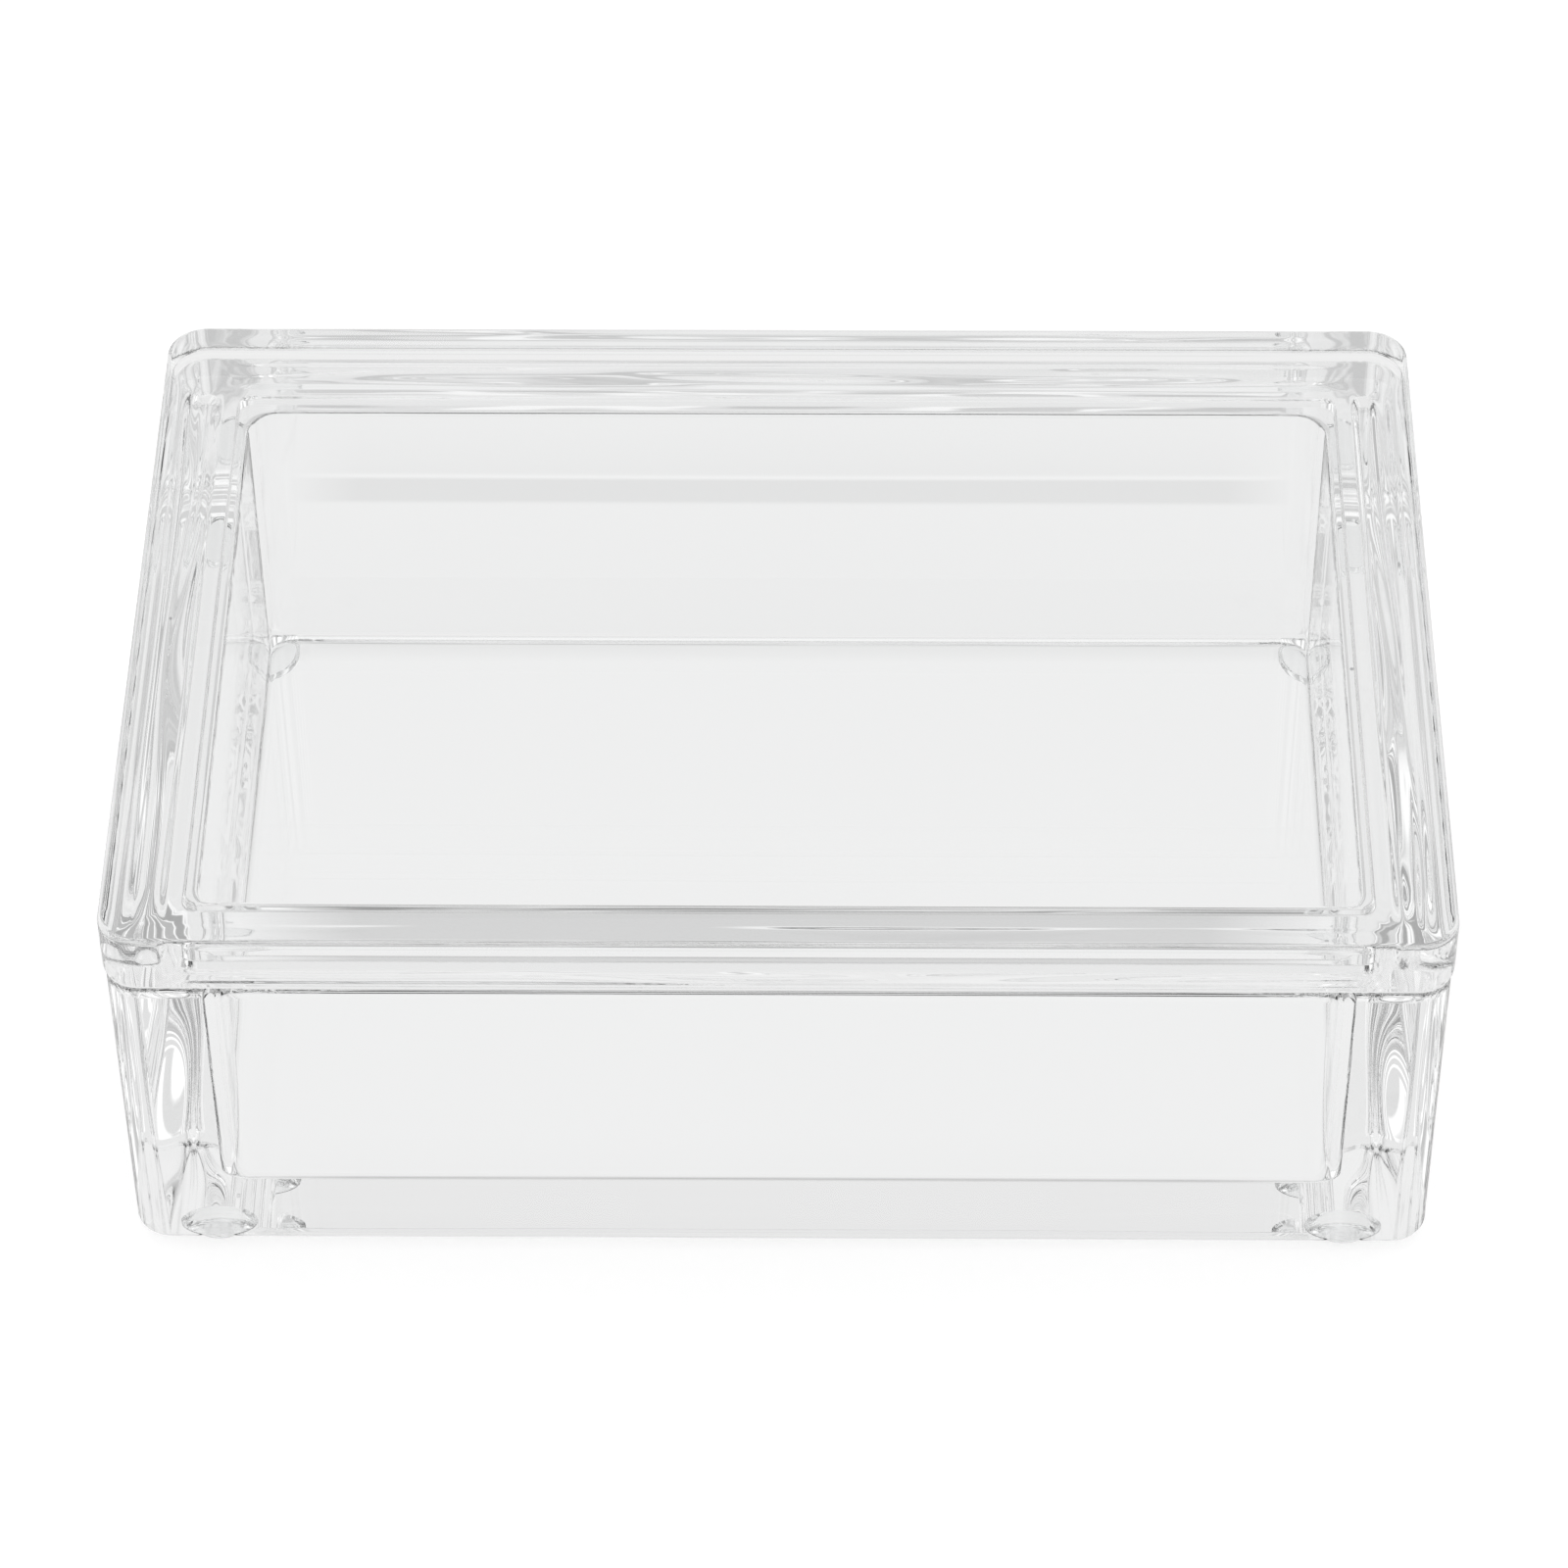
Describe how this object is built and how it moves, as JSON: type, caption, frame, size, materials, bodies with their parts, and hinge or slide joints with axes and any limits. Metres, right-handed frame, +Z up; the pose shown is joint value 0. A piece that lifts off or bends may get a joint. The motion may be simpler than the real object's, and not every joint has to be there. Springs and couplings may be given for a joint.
{
  "type": "acrylic storage box with lid",
  "caption": "Shallow rectangular desk box of thick clear acrylic with rounded corners, a flat lift-off lid and small clear bumper feet.",
  "frame": {"origin": "middle of the footprint, on the surface that the feet stand on", "axes": "+X along the long side towards the right, +Y from the front towards the back, +Z up"},
  "size_m": [0.108, 0.0732, 0.0378],
  "materials": {
    "clear_acrylic": "polished, fully clear",
    "clear_bumper": "smooth, clear"
  },
  "bodies": {
    "box": {"box_body": "clear_acrylic", "foot_front_left": "clear_bumper", "foot_front_right": "clear_bumper", "foot_rear_left": "clear_bumper", "foot_rear_right": "clear_bumper"},
    "lid": {"lid": "clear_acrylic"}
  },
  "joints": [
    {"name": "lid_lift", "type": "slide", "parent": "box", "child": "lid", "axis": [0, 0, 1], "range_m": [0, 0.06]}
  ]
}
